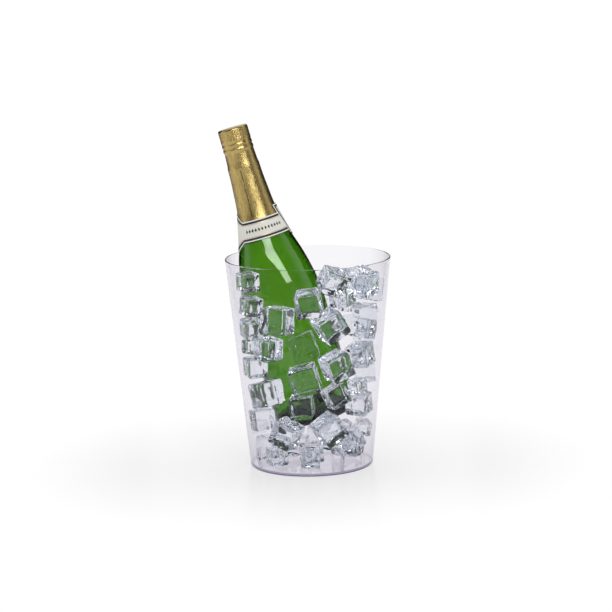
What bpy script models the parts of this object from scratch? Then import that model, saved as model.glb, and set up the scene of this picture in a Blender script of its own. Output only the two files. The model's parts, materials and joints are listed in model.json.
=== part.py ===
"""Clear plastic champagne bucket, packed with ice cubes, with a chilled bottle leaning in it.

Metres, +Z up.  The origin is the centre of the bucket's base, +X is to the right of someone
standing in front of the bucket, and -Y points at them.  The bottle leans to the left and back.
"""

import math
import random

import bmesh
import bpy
from mathutils import Euler, Matrix, Vector

COLLECTION = "champagne_bucket"
MERGE = 0.00002          # merge distance of every modifier that merges
GAP = 0.0004             # clearance between neighbours that touch on the real object

# Bucket
BUCKET_HEIGHT = 0.219
RIM_RADIUS = 0.086       # outer
BASE_RADIUS = 0.0643     # outer
WALL = 0.0016
FLOOR = 0.003
BASE_CORNER = 0.003
FLOOR_CORNER = 0.002
RIM_ROUND = 0.0006
RIB_HEIGHT = 0.022       # stacking ribs stand inside the wall, on the floor
RIB_WIDTH = 0.0032
RIB_DEPTH = 0.0030
RIB_ANGLES = (-60.0, 30.0, 120.0, 210.0)     # degrees from the front, + to the right
BUCKET_STEPS = 56

# Bottle: heights are along its own axis, from the foot
BOTTLE_FOOT = Vector((0.0066, 0.0160, 0.0460))
BOTTLE_LEAN = (15.0, 2.5)        # degrees to the left and back
LIFT_LEAN = (9.0, -3.0)          # the bottle is drawn out more upright than it leans
LIFT_TRAVEL = 0.210
BOTTLE_STEPS = 32
BODY_RADIUS = 0.0435
BODY_TOP = 0.112
HEEL = 0.0065
PUNT_HEIGHT = 0.026
GLASS = 0.0032
MOUTH_HEIGHT = 0.300
BORE_RADIUS = 0.0090
COLLAR_RADIUS = 0.0135
WINE_LEVEL = 0.252
CAPSULE_TOP = 0.318
CAPSULE_BOTTOM = 0.216
FOIL = 0.00035
SHOULDER = (             # outer radius of the glass from the body to the neck
    (0.112, 0.0435), (0.133, 0.0430), (0.148, 0.0409), (0.160, 0.0386), (0.176, 0.0348),
    (0.192, 0.0296), (0.210, 0.0241), (0.228, 0.0198), (0.250, 0.0178), (0.268, 0.0163),
)
BORE = (                 # inner radius from the mouth down to the shoulder
    (0.300, 0.0090), (0.272, 0.0091), (0.250, 0.0122), (0.228, 0.0160), (0.210, 0.0206),
    (0.192, 0.0262), (0.176, 0.0314), (0.160, 0.0353), (0.148, 0.0376), (0.133, 0.0397),
    (0.112, 0.0403),
)

# Cork, wire cage and labels
CORK_HEAD_RADIUS = 0.0131
CORK_HEAD_TOP = 0.3140
WIRE = 0.00045           # radius of the cage wire
CAGE_RADIUS = 0.0144
CAGE_RING_HEIGHT = 0.2835
CAGE_CROWN_RADIUS = 0.0112
CAGE_CROWN_HEIGHT = 0.3157
PAPER = 0.00025
BODY_LABEL_ANGLE = 112.0         # the bottle's face is turned to the right
BODY_LABEL_HALF = 38.0           # degrees
BODY_LABEL_SPAN = (0.036, 0.106)
NECK_BAND = (0.1995, 0.2205)     # narrow band across the front
NECK_PANEL = (0.1900, 0.2290)    # tall panel round the right and the back
NECK_STEP = 0.0055               # the panel's lower edge starts higher at the right

# Ice
CUBE = 0.0262
CUBE_BEVEL = 0.0020
BOTTLE_ROOM = 0.0012     # between the ice and the glass, on the bottle's whole way out
MOST_CUBES = 50
SHRINK = (1.0, 0.96, 0.92, 0.87, 0.82)         # a cube that finds no room at full size has melted
WALL_STEP = 0.0006
WALL_STEPS = 24
FILL_SEED = 11
FILL_ROUND = 15
FILL_BOTTOM = 0.015
FILL_TOP = 0.180
FILL_PASSES = (          # edges to try, levels, how far in from the wall, and greatest tilt
    ((0.0280, 0.0262), 7, 0.0, 7.0),
    ((0.0262, 0.0240), 9, 0.026, 12.0),
    ((0.0250, 0.0225), 13, 0.0, 14.0),
    ((0.0225, 0.0195), 11, 0.027, 16.0),
    ((0.0200,), 15, 0.0, 20.0),
    ((0.0170,), 15, 0.0, 20.0),
)

# Cubes against the front wall: name, degrees from the front, height of the centre,
# turn / lean / roll in degrees, and edge length.
FRONT_CUBES = (
    ("ice_top_left", -62, 0.2000, (-60, 2, 2), 0.0250),
    ("ice_middle_left", -62, 0.1740, (-60, -3, 5), 0.0250),
    ("ice_wide", -33, 0.1620, (-30, -3, 2), 0.0300),
    ("ice_low_left", -66, 0.1500, (-62, 6, 14), 0.0245),
    ("ice_centre", 0, 0.1870, (-10, 14, -8), 0.0290),
    ("ice_right_of_centre", 19, 0.1620, (14, 8, -32), 0.0290),
    ("ice_middle", -4, 0.1380, (2, -6, -22), 0.0295),
    ("ice_lower_middle", -6, 0.1060, (-6, 6, -16), 0.0300),
    ("ice_worn", -14, 0.0770, (-10, 4, -4), 0.0285),
    ("ice_tilted_left", -32, 0.0440, (-28, 3, 24), 0.0270),
    ("ice_low_right", 14, 0.0500, (14, 5, -32), 0.0280),
    ("ice_dark_right", 46, 0.0360, (44, -6, -32), 0.0270),
    ("ice_right_middle", 28, 0.0820, (26, -5, -24), 0.0285),
    ("ice_right_edge", 64, 0.0680, (62, 4, -12), 0.0270),
    ("ice_right_upper", 26, 0.1100, (24, 6, -22), 0.0275),
    ("ice_right_shoulder", 50, 0.1490, (48, 4, 12), 0.0270),
    ("ice_right_flank", 54, 0.1200, (52, -4, -10), 0.0270),
    ("ice_left_upper", -46, 0.1310, (-44, 3, 5), 0.0275),
    ("ice_left_edge", -74, 0.1080, (-72, 3, 5), 0.0270),
    ("ice_left_middle", -56, 0.0820, (-54, 5, -12), 0.0275),
    ("ice_left_bottom", -66, 0.0520, (-64, 4, -8), 0.0270),
    ("ice_foot_middle", 2, 0.0180, (4, -2, 3), 0.0265),
)

# Loose cubes on top of the pile, each with its way up kept free
LOOSE_CUBES = (
    ("ice_loose_front", 22, 0.2030, (20, 24, 18), 0.0250),
    ("ice_loose_right", 58, 0.1960, (58, 6, -12), 0.0262),
    ("ice_loose_side", 84, 0.1850, (84, 8, 8), 0.0262),
    ("ice_loose_back", 112, 0.1880, (112, -6, -10), 0.0262),
    ("ice_loose_rear", 142, 0.1850, (142, 6, 10), 0.0262),
)


# ---------------------------------------------------------------- scene helpers

def clear_scene():
    """Remove every object, so that the script can be run again."""
    for old in list(bpy.data.objects):
        bpy.data.objects.remove(old, do_unlink=True)


def make_collection(name):
    group = bpy.data.collections.get(name) or bpy.data.collections.new(name)
    if group.name not in bpy.context.scene.collection.children:
        bpy.context.scene.collection.children.link(group)
    return group


def make_material(name, colour, roughness, metallic=0.0, transmission=0.0):
    material = bpy.data.materials.new(name)
    material.use_nodes = True
    shader = material.node_tree.nodes["Principled BSDF"]
    shader.inputs["Base Color"].default_value = (*colour, 1.0)
    shader.inputs["Roughness"].default_value = roughness
    shader.inputs["Metallic"].default_value = metallic
    shader.inputs["Transmission Weight"].default_value = transmission
    return material


def mesh_object(name, mesh, material, parent=None):
    """Link a mesh as a named part of the assembly."""
    part = bpy.data.objects.new(name, mesh)
    part.data.materials.append(material)
    PARTS.objects.link(part)
    part.parent = parent
    return part


def make_cutter(part):
    """Keep a shape that only serves a Boolean out of the assembly."""
    for group in list(part.users_collection):
        group.objects.unlink(part)
    CUTTERS.objects.link(part)
    part.hide_render = True
    part.display_type = "WIRE"


def add_boolean(part, other, operation):
    modifier = part.modifiers.new(operation.lower(), "BOOLEAN")
    modifier.operation = operation
    modifier.object = other


def shade_round(part, angle=30.0):
    part.data.shade_smooth()
    part.data.set_sharp_from_angle(angle=math.radians(angle))


# ---------------------------------------------------------------- shapes

def arc(centre, radius, start, end, count):
    """Points (radius, height) on a circular arc, angles in degrees from +X."""
    points = []
    for i in range(count + 1):
        angle = math.radians(start + (end - start) * i / count)
        points.append((centre[0] + radius * math.cos(angle), centre[1] + radius * math.sin(angle)))
    return points


def station_radius(stations, height):
    """Radius at a height on the smooth line through (height, radius) stations."""
    line = sorted(stations)
    if height <= line[0][0]:
        return line[0][1]
    if height >= line[-1][0]:
        return line[-1][1]
    for i in range(len(line) - 1):
        (h0, r0), (h1, r1) = line[i], line[i + 1]
        if h0 <= height <= h1:
            break
    before = line[max(i - 1, 0)]
    after = line[min(i + 2, len(line) - 1)]
    slope0 = (r1 - before[1]) / (h1 - before[0])
    slope1 = (after[1] - r0) / (after[0] - h0)
    if i == 0:
        slope0 = 0.0
    t = (height - h0) / (h1 - h0)
    span = h1 - h0
    return (
        (2 * t**3 - 3 * t**2 + 1) * r0
        + (t**3 - 2 * t**2 + t) * span * slope0
        + (3 * t**2 - 2 * t**3) * r1
        + (t**3 - t**2) * span * slope1
    )


def glass_radius(height):
    """Outer radius of the glass, body to neck."""
    return station_radius(SHOULDER, height)


def heights(low, high, count):
    return [low + (high - low) * i / count for i in range(count + 1)]


def turned(name, profile, steps, material, parent=None):
    """A turned part: profile points are (radius, height), outer side from top to bottom."""
    mesh = bpy.data.meshes.new(name)
    vertices = [(radius, 0.0, height) for radius, height in profile]
    mesh.from_pydata(vertices, [(i, i + 1) for i in range(len(vertices) - 1)], [])
    part = mesh_object(name, mesh, material, parent)
    screw = part.modifiers.new("turn", "SCREW")
    screw.axis = "Z"
    screw.steps = steps
    screw.render_steps = steps
    screw.use_merge_vertices = True
    screw.merge_threshold = MERGE
    screw.use_smooth_shade = True
    return part


# ---------------------------------------------------------------- bucket

def outer_wall(height):
    return BASE_RADIUS + (RIM_RADIUS - BASE_RADIUS) * height / BUCKET_HEIGHT


def inner_wall(height):
    return outer_wall(height) - WALL


def make_rib(angle):
    """A stacking rib's block, sunk into the wall and the floor."""
    bpy.ops.mesh.primitive_cube_add(size=1.0)
    rib = bpy.context.object
    rib.name = f"rib_{int(angle) % 360}"
    top = FLOOR + RIB_HEIGHT
    bottom = FLOOR * 0.5
    inner = inner_wall(FLOOR) - RIB_DEPTH
    outer = inner_wall(FLOOR) + 0.4 * WALL
    size = Vector((outer - inner, RIB_WIDTH, top - bottom))
    centre = Vector(((outer + inner) / 2, 0.0, (top + bottom) / 2))
    turn = Matrix.Rotation(math.radians(angle - 90.0), 4, "Z")
    rib.data.transform(Matrix.Diagonal((*size, 1.0)))
    rib.data.transform(Matrix.Translation(centre))
    rib.matrix_world = turn
    make_cutter(rib)
    return rib


def make_bucket(material):
    slope = math.degrees(math.atan2(RIM_RADIUS - BASE_RADIUS, BUCKET_HEIGHT))
    rim_centre_outer = (RIM_RADIUS - RIM_ROUND, BUCKET_HEIGHT - RIM_ROUND)
    rim_centre_inner = (RIM_RADIUS - WALL + RIM_ROUND, BUCKET_HEIGHT - RIM_ROUND)
    profile = [(0.0, FLOOR)]
    corner = (inner_wall(FLOOR) - FLOOR_CORNER, FLOOR + FLOOR_CORNER)
    profile += arc(corner, FLOOR_CORNER, -90.0, -slope, 3)
    profile += arc(rim_centre_inner, RIM_ROUND, 180.0, 90.0, 3)
    profile += arc(rim_centre_outer, RIM_ROUND, 90.0, -slope, 3)
    corner = (BASE_RADIUS - BASE_CORNER, BASE_CORNER)
    profile += arc(corner, BASE_CORNER, -slope, -90.0, 4)
    profile.append((0.0, 0.0))
    bucket = turned("bucket", profile, BUCKET_STEPS, material)
    for angle in RIB_ANGLES:
        add_boolean(bucket, make_rib(angle), "UNION")
    return bucket


# ---------------------------------------------------------------- bottle

def lean_direction(left, back):
    """Unit vector that leans by degrees to the left and to the back."""
    left, back = math.radians(left), math.radians(back)
    return Vector((-math.sin(left) * math.cos(back), math.sin(back), math.cos(left) * math.cos(back)))


BOTTLE_UP = lean_direction(*BOTTLE_LEAN)
LIFT_UP = lean_direction(*LIFT_LEAN)
LIFT_FEET = [BOTTLE_FOOT + LIFT_UP * (LIFT_TRAVEL * i / 10) for i in range(11)]


def make_bottle_axis():
    """Empty at the bottle's foot with +Z along the bottle."""
    axis = bpy.data.objects.new("bottle_axis", None)
    PARTS.objects.link(axis)
    axis.matrix_world = Matrix.Translation(BOTTLE_FOOT) @ bottle_turn()
    return axis


def bottle_turn():
    """Rotation whose +Z is the bottle's axis and whose -Y faces the front."""
    up = BOTTLE_UP
    right = Vector((0.0, 1.0, 0.0)).cross(up).normalized()
    back = up.cross(right)
    return Matrix((right, back, up)).transposed().to_4x4()


def make_glass(material, axis):
    inner_floor = 0.010
    profile = [(0.0, PUNT_HEIGHT + 0.005), (0.014, PUNT_HEIGHT + 0.0005), (0.026, 0.016)]
    profile += arc((BODY_RADIUS - GLASS - 0.006, inner_floor + 0.006), 0.006, -70.0, 0.0, 3)
    profile += [(station_radius(BORE, h), h) for h in heights(0.112, 0.272, 9)]
    profile += [(BORE_RADIUS, 0.299)]
    profile += arc((BORE_RADIUS + 0.0018, MOUTH_HEIGHT - 0.0012), 0.0012, 135.0, 20.0, 3)
    profile += [(0.0131, 0.2975), (0.0131, 0.2925)]
    profile += [(COLLAR_RADIUS, 0.2910), (COLLAR_RADIUS, 0.2870)]
    profile += [(0.0131, 0.2855), (0.0131, 0.2800)]
    profile += [(glass_radius(h), h) for h in reversed(heights(BODY_TOP, 0.268, 11))]
    profile += arc((BODY_RADIUS - HEEL, HEEL), HEEL, 0.0, -90.0, 4)
    profile += [(0.0325, 0.0004), (0.026, 0.007), (0.014, 0.019), (0.006, 0.0245)]
    profile.append((0.0, PUNT_HEIGHT))
    return turned("bottle_glass", profile, BOTTLE_STEPS, material, axis)


def make_wine(material, axis):
    inner_floor = 0.010 + GAP
    profile = [(0.0, WINE_LEVEL), (station_radius(BORE, WINE_LEVEL) - GAP, WINE_LEVEL)]
    profile += [(station_radius(BORE, h) - GAP, h) for h in reversed(heights(0.112, 0.248, 8))]
    centre = (BODY_RADIUS - GLASS - 0.006, inner_floor + 0.006)
    profile += arc(centre, 0.006 - GAP, 0.0, -70.0, 3)
    profile += [(0.026, 0.0170), (0.014, PUNT_HEIGHT + 0.0015), (0.0, PUNT_HEIGHT + 0.006)]
    return turned("wine", profile, BOTTLE_STEPS, material, axis)


def make_cork(material, axis):
    shaft = BORE_RADIUS - GAP
    head_bottom = MOUTH_HEIGHT + GAP
    profile = [(0.0, CORK_HEAD_TOP), (0.008, CORK_HEAD_TOP - 0.0001)]
    profile += arc((CORK_HEAD_RADIUS - 0.002, CORK_HEAD_TOP - 0.002), 0.002, 80.0, 0.0, 3)
    profile += [(CORK_HEAD_RADIUS, 0.3060), (0.0118, 0.3025), (0.0112, head_bottom)]
    profile += [(shaft, head_bottom), (shaft, 0.2760), (shaft - 0.0008, 0.2745), (0.0, 0.2745)]
    return turned("cork", profile, 32, material, axis)


def make_plaque(material, axis):
    """Stamped disc between the cork and the cage's crown."""
    top = CORK_HEAD_TOP + GAP + 0.0004
    profile = [(0.0, top + 0.0006), (0.005, top + 0.0005), (0.0085, top), (0.0124, top)]
    profile += [(0.0126, top - 0.0002), (0.0124, CORK_HEAD_TOP + GAP), (0.0, CORK_HEAD_TOP + GAP)]
    return turned("muselet_cap", profile, 32, material, axis)


def wire_mesh(name, points):
    """A round wire through points, as a closed mesh."""
    curve = bpy.data.curves.new(name, "CURVE")
    curve.dimensions = "3D"
    curve.bevel_depth = WIRE
    curve.bevel_resolution = 1
    curve.use_fill_caps = True
    spline = curve.splines.new("POLY")
    spline.points.add(len(points) - 1)
    for point, place in zip(spline.points, points):
        point.co = (*place, 1.0)
    guide = bpy.data.objects.new(name, curve)
    PARTS.objects.link(guide)
    bpy.context.view_layer.update()
    mesh = bpy.data.meshes.new_from_object(guide.evaluated_get(bpy.context.evaluated_depsgraph_get()))
    bpy.data.objects.remove(guide, do_unlink=True)
    bpy.data.curves.remove(curve)
    shape = bmesh.new()
    shape.from_mesh(mesh)
    bmesh.ops.remove_doubles(shape, verts=shape.verts, dist=MERGE)
    shape.to_mesh(mesh)
    shape.free()
    return mesh


def cage_ring(name, radius, height):
    bpy.ops.mesh.primitive_torus_add(
        major_radius=radius, minor_radius=WIRE, major_segments=32, minor_segments=6,
    )
    ring = bpy.context.object
    ring.name = name
    ring.data.transform(Matrix.Translation((0.0, 0.0, height)))
    return ring


def make_cage(material, axis):
    """Wire cage: a ring under the collar, a crown on the plaque, and four legs between."""
    cage = cage_ring("muselet", CAGE_RADIUS, CAGE_RING_HEIGHT)
    for group in list(cage.users_collection):
        group.objects.unlink(cage)
    PARTS.objects.link(cage)
    cage.data.materials.append(material)
    cage.parent = axis
    crown = cage_ring("cage_crown", CAGE_CROWN_RADIUS, CAGE_CROWN_HEIGHT)
    crown.parent = axis
    make_cutter(crown)
    add_boolean(cage, crown, "UNION")
    leg_line = [
        (CAGE_CROWN_RADIUS - 0.0001, CAGE_CROWN_HEIGHT + 0.0001),
        (CAGE_RADIUS - 0.0014, CAGE_CROWN_HEIGHT - 0.0001),
        (CAGE_RADIUS - 0.0004, CAGE_CROWN_HEIGHT - 0.0011),
        (CAGE_RADIUS, CAGE_CROWN_HEIGHT - 0.0026),
        (CAGE_RADIUS + 0.0001, CAGE_RING_HEIGHT + 0.0001),
    ]
    for i in range(4):
        turn = Matrix.Rotation(math.radians(45.0 + 90.0 * i), 3, "Z")
        points = [turn @ Vector((radius, 0.0, height)) for radius, height in leg_line]
        leg = bpy.data.objects.new(f"cage_leg_{i}", wire_mesh("cage_leg", points))
        PARTS.objects.link(leg)
        leg.parent = axis
        make_cutter(leg)
        add_boolean(cage, leg, "UNION")
    return cage


def capsule_line():
    """The foil's outer outline from the crown down to its hem: (radius, height)."""
    line = [(0.0, CAPSULE_TOP), (0.0128, CAPSULE_TOP - 0.0003)]
    line += arc((0.0140, CAPSULE_TOP - 0.0022), 0.0019, 75.0, 0.0, 3)
    line += [(0.0161, 0.3080), (0.0161, 0.3035), (0.0157, 0.3020), (0.0162, 0.3005)]
    line += [(0.0162, 0.2990), (0.0156, 0.2975), (0.0163, 0.2958), (0.0163, 0.2940)]
    line += [(0.0157, 0.2925), (0.0159, 0.2880), (0.0163, 0.2800)]
    line += [(glass_radius(h) + FOIL + GAP, h) for h in (0.268, 0.259, 0.250, 0.242, 0.235, 0.228)]
    line += [(glass_radius(h) + FOIL + GAP, h) for h in (0.222, CAPSULE_BOTTOM)]
    return line


def make_capsule(material, axis):
    """Foil skin over the cork and the neck, a constant thickness inside its outline."""
    outer = capsule_line()
    inner = [(0.0, CAPSULE_TOP - FOIL), (outer[1][0], outer[1][1] - FOIL)]
    inner += [(radius - FOIL, height - 0.3 * FOIL) for radius, height in outer[2:5]]
    inner += [(radius - FOIL, height) for radius, height in outer[5:]]
    profile = outer + list(reversed(inner))
    return turned("foil_capsule", profile, BOTTLE_STEPS, material, axis)


def paper_band(name, columns, lift, material, axis, rows, closed):
    """A label wrapped on the bottle: columns are (degrees, bottom, top) from the front.

    lift(height) is the paper's inner distance from the glass.
    """
    shape = bmesh.new()
    grid = []
    for angle, low, high in columns:
        turn = math.radians(angle - 90.0)
        line = []
        for height in heights(low, high, rows):
            radius = glass_radius(height) + lift(height)
            line.append(shape.verts.new((radius * math.cos(turn), radius * math.sin(turn), height)))
        grid.append(line)
    if closed:
        grid.append(grid[0])
    for left, right in zip(grid, grid[1:]):
        for i in range(rows):
            shape.faces.new((left[i], right[i], right[i + 1], left[i + 1]))
    mesh = bpy.data.meshes.new(name)
    shape.to_mesh(mesh)
    shape.free()
    label = mesh_object(name, mesh, material, axis)
    solid = label.modifiers.new("paper", "SOLIDIFY")
    solid.thickness = PAPER
    solid.offset = 1.0
    shade_round(label)
    return label


def neck_label_edges(angle):
    """Bottom and top height of the neck label at an angle from the front."""
    low, high = NECK_BAND
    panel_low, panel_high = NECK_PANEL
    if -48.0 <= angle <= 62.0:
        return low, high
    if angle < -48.0:
        share = min((-48.0 - angle) / 30.0, 1.0)
    else:
        share = min((angle - 62.0) / 5.0, 1.0)
        panel_low += NECK_STEP * max(1.0 - (angle - 62.0) / 60.0, 0.0)
    return low + (panel_low - low) * share, high + (panel_high - high) * share


def make_neck_label(material, axis):
    angles = [-180, -170, -160, -150, -140, -130, -120, -110, -100, -90, -84, -78, -70, -62, -54]
    angles += [-48, -40, -30, -20, -10, 0, 10, 20, 30, 40, 50, 57, 62, 64.5, 67, 75, 84, 92]
    angles += [100, 110, 120, 130, 140, 150, 160, 170]
    columns = [(angle, *neck_label_edges(angle)) for angle in angles]

    def lift(height):
        share = min(max((height - 0.198) / (CAPSULE_BOTTOM - 0.200), 0.0), 1.0)
        return GAP + (FOIL + 0.0005) * share

    return paper_band("neck_label", columns, lift, material, axis, 4, True)


def make_body_label(material, axis):
    low, high = BODY_LABEL_SPAN
    half = BODY_LABEL_HALF
    columns = []
    for i in range(15):
        angle = BODY_LABEL_ANGLE - half + 2 * half * i / 14
        columns.append((angle, low, high))
    return paper_band("body_label", columns, lambda height: GAP, material, axis, 2, False)


# ---------------------------------------------------------------- ice

class Cube:
    """An ice cube: centre, rotation and half edge."""

    def __init__(self, centre, turn, edge):
        self.centre = centre
        self.turn = turn
        self.half = edge / 2
        self.axes = [turn.col[i].copy() for i in range(3)]

    def at(self, centre):
        """The same cube standing somewhere else."""
        return Cube(centre, self.turn, 2 * self.half)

    def point(self, i, j, k):
        """A point of the cube in its own coordinates, from -1 to 1 along each axis."""
        a, b, c = self.axes
        return self.centre + self.half * (i * a + j * b + k * c)

    def reach(self, direction):
        return self.half * sum(abs(axis.dot(direction)) for axis in self.axes)

    def meets(self, other):
        """True if the cubes are closer than the gap, by the separating axes of two boxes."""
        offset = other.centre - self.centre
        distance = offset.length
        if distance > math.sqrt(3.0) * (self.half + other.half) + GAP:
            return False
        if distance < self.half + other.half:
            return True
        directions = self.axes + other.axes
        for a in self.axes:
            for b in other.axes:
                cross = a.cross(b)
                if cross.length > 0.02:
                    directions.append(cross.normalized())
        for direction in directions:
            room = abs(offset.dot(direction)) - self.reach(direction) - other.reach(direction)
            if room > GAP:
                return False
        return True


CORNERS = [(i, j, k) for i in (-1, 1) for j in (-1, 1) for k in (-1, 1)]
GRID = (-1.0, -0.5, 0.0, 0.5, 1.0)
SKIN = [(i, j, k) for i in GRID for j in GRID for k in GRID if max(abs(i), abs(j), abs(k)) == 1.0]


def in_bucket(cube):
    """True if every corner is clear of the wall, the floor and the ring where the ribs stand."""
    for corner in CORNERS:
        place = cube.point(*corner)
        if place.z < FLOOR + GAP or place.z > BUCKET_HEIGHT + CUBE / 4:
            return False
        room = inner_wall(place.z) - GAP - math.hypot(place.x, place.y)
        if place.z < FLOOR + RIB_HEIGHT + GAP:
            room -= RIB_DEPTH
        if room < 0.0:
            return False
    return True


def bottle_room(point, foot):
    """Distance from a point to the bottle's skin when its foot stands at foot."""
    offset = point - foot
    height = offset.dot(BOTTLE_UP)
    radius = (offset - BOTTLE_UP * height).length
    if height < 0.0:
        return max(-height, radius - BODY_RADIUS)
    return radius - glass_radius(height)


def clear_of_bottle(cube, feet):
    """True if the cube stays clear of the bottle, with its foot at each place in feet."""
    for foot in feet:
        nearest = bottle_room(cube.centre, foot)
        if nearest > math.sqrt(3.0) * cube.half + BOTTLE_ROOM:
            continue
        if nearest < cube.half:
            return False
        if any(bottle_room(cube.point(*spot), foot) < BOTTLE_ROOM for spot in SKIN):
            return False
    return True


def fits(cube, others):
    if not in_bucket(cube):
        return False
    if any(cube.meets(other) for other in others):
        return False
    return clear_of_bottle(cube, LIFT_FEET)


def make_turn(turn, lean, roll):
    """Rotation by a turn about the vertical, after a lean to the front and a sideways roll."""
    spin = Euler((0.0, 0.0, math.radians(turn))).to_matrix()
    tip = Euler((math.radians(lean), math.radians(roll), 0.0)).to_matrix()
    return spin @ tip


def way_up(cube):
    """Copies of a loose cube on its way out over the rim."""
    return [cube.at(cube.centre + Vector((0.0, 0.0, 0.008 * i))) for i in range(1, 10)]


def fits_and_lifts_out(cube, others):
    if not fits(cube, others):
        return False
    return not any(step.meets(other) for step in way_up(cube) for other in others)


def against_wall(angle, height, turn, edge, others, inset, test):
    """A cube pushed in from the wall, at an angle from the front, until it fits, or None."""
    heading = math.radians(angle - 90.0)
    outward = Vector((math.cos(heading), math.sin(heading), 0.0))
    distance = inner_wall(height) - edge / 2 - inset
    for step in range(WALL_STEPS):
        centre = outward * (distance - WALL_STEP * step)
        centre.z = height
        cube = Cube(centre, turn, edge)
        if test(cube, others):
            return cube
    return None


def nudged(angle, height, turns, edges, others, reach=5, inset=0.0, test=fits):
    """The first cube against the wall that fits near the wanted place, or None.

    The places nearest to the wanted one are tried first, and the largest edge at each.
    """
    shifts = []
    for side in range(-reach, reach + 1):
        for rise in range(-reach, reach + 1):
            for size, edge in enumerate(edges):
                shifts.append((abs(side) + abs(rise) + 1.5 * size, side, rise, edge))
    shifts.sort()
    for _, side, rise, edge in shifts:
        turn = make_turn(turns[0] + 2.0 * side, turns[1], turns[2])
        level = height + 0.0015 * rise
        cube = against_wall(angle + 2.0 * side, level, turn, edge, others, inset, test)
        if cube:
            return cube
    return None


def fill_cubes(taken, count):
    """Fill the rest of the bucket: large cubes first, level by level and round the wall."""
    dice = random.Random(FILL_SEED)
    cubes = []
    for edges, levels, inset, tilt in FILL_PASSES:
        for level in range(levels):
            height = FILL_BOTTOM + (FILL_TOP - FILL_BOTTOM) * level / (levels - 1)
            for step in range(FILL_ROUND):
                angle = 360.0 * step / FILL_ROUND + dice.uniform(-9.0, 9.0)
                turns = (angle + dice.uniform(-2, 2) * tilt, dice.uniform(-tilt, tilt), dice.uniform(-tilt, tilt))
                cube = nudged(angle, height, turns, edges, taken + cubes, 2, inset)
                if cube and len(cubes) < count:
                    cubes.append(cube)
    return cubes


def make_ice(name, cube, material):
    bpy.ops.mesh.primitive_cube_add(size=1.0)
    ice = bpy.context.object
    ice.name = name
    ice.data.name = name
    ice.data.transform(Matrix.Scale(2 * cube.half, 4))
    for group in list(ice.users_collection):
        group.objects.unlink(ice)
    PARTS.objects.link(ice)
    ice.matrix_world = Matrix.Translation(cube.centre) @ cube.turn.to_4x4()
    ice.data.materials.append(material)
    bevel = ice.modifiers.new("melt", "BEVEL")
    bevel.width = CUBE_BEVEL
    bevel.segments = 1
    bevel.limit_method = "NONE"
    return ice


def make_pile(material):
    """All the ice: loose cubes first, then the ones seen at the front, then the rest."""
    placed = {}
    kept_free = []
    for name, angle, height, turns, edge in LOOSE_CUBES:
        others = list(placed.values()) + kept_free
        edges = [edge * share for share in SHRINK]
        cube = nudged(angle, height, turns, edges, others, test=fits_and_lifts_out)
        if cube:
            placed[name] = cube
            kept_free += way_up(cube)
    for name, angle, height, turns, edge in FRONT_CUBES:
        others = list(placed.values()) + kept_free
        cube = nudged(angle, height, turns, [edge * share for share in SHRINK], others)
        if cube:
            placed[name] = cube
    rest = fill_cubes(list(placed.values()) + kept_free, MOST_CUBES - len(placed))
    for i, cube in enumerate(rest, start=1):
        placed[f"ice_cube_{i:02d}"] = cube
    for name, cube in placed.items():
        make_ice(name, cube, material)


# ---------------------------------------------------------------- assembly

clear_scene()
PARTS = make_collection(COLLECTION)
CUTTERS = make_collection("cutters")


def main():
    clear_plastic = make_material("clear_plastic", (0.93, 0.92, 0.95), 0.04, 0.0, 1.0)
    green_glass = make_material("green_glass", (0.10, 0.32, 0.03), 0.02, 0.0, 1.0)
    pale_wine = make_material("wine", (0.90, 0.80, 0.35), 0.0, 0.0, 1.0)
    cork = make_material("cork", (0.62, 0.44, 0.27), 0.85)
    steel = make_material("cage_wire", (0.72, 0.71, 0.68), 0.3, 1.0)
    plaque = make_material("plaque", (0.75, 0.60, 0.30), 0.3, 1.0)
    gold_foil = make_material("gold_foil", (0.72, 0.58, 0.30), 0.32, 1.0)
    neck_paper = make_material("neck_paper", (0.88, 0.88, 0.82), 0.6)
    body_paper = make_material("body_paper", (0.88, 0.88, 0.82), 0.6)
    clear_ice = make_material("clear_ice", (0.90, 0.94, 0.96), 0.03, 0.0, 1.0)

    make_bucket(clear_plastic)
    axis = make_bottle_axis()
    make_glass(green_glass, axis)
    make_wine(pale_wine, axis)
    make_cork(cork, axis)
    make_plaque(plaque, axis)
    make_cage(steel, axis)
    make_capsule(gold_foil, axis)
    make_neck_label(neck_paper, axis)
    make_body_label(body_paper, axis)
    make_pile(clear_ice)


main()
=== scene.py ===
"""Looks of a clear plastic champagne bucket packed with ice, with a bottle leaning in it.

Metres, +Z up.  The bucket stands on the floor at the origin, its front faces -Y and +X is to the
right.  Heights on the bottle are along its own axis, and angles round it are from the front.
"""

import json
import math

import bmesh
import bpy
from mathutils import Matrix, Vector, noise

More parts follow.
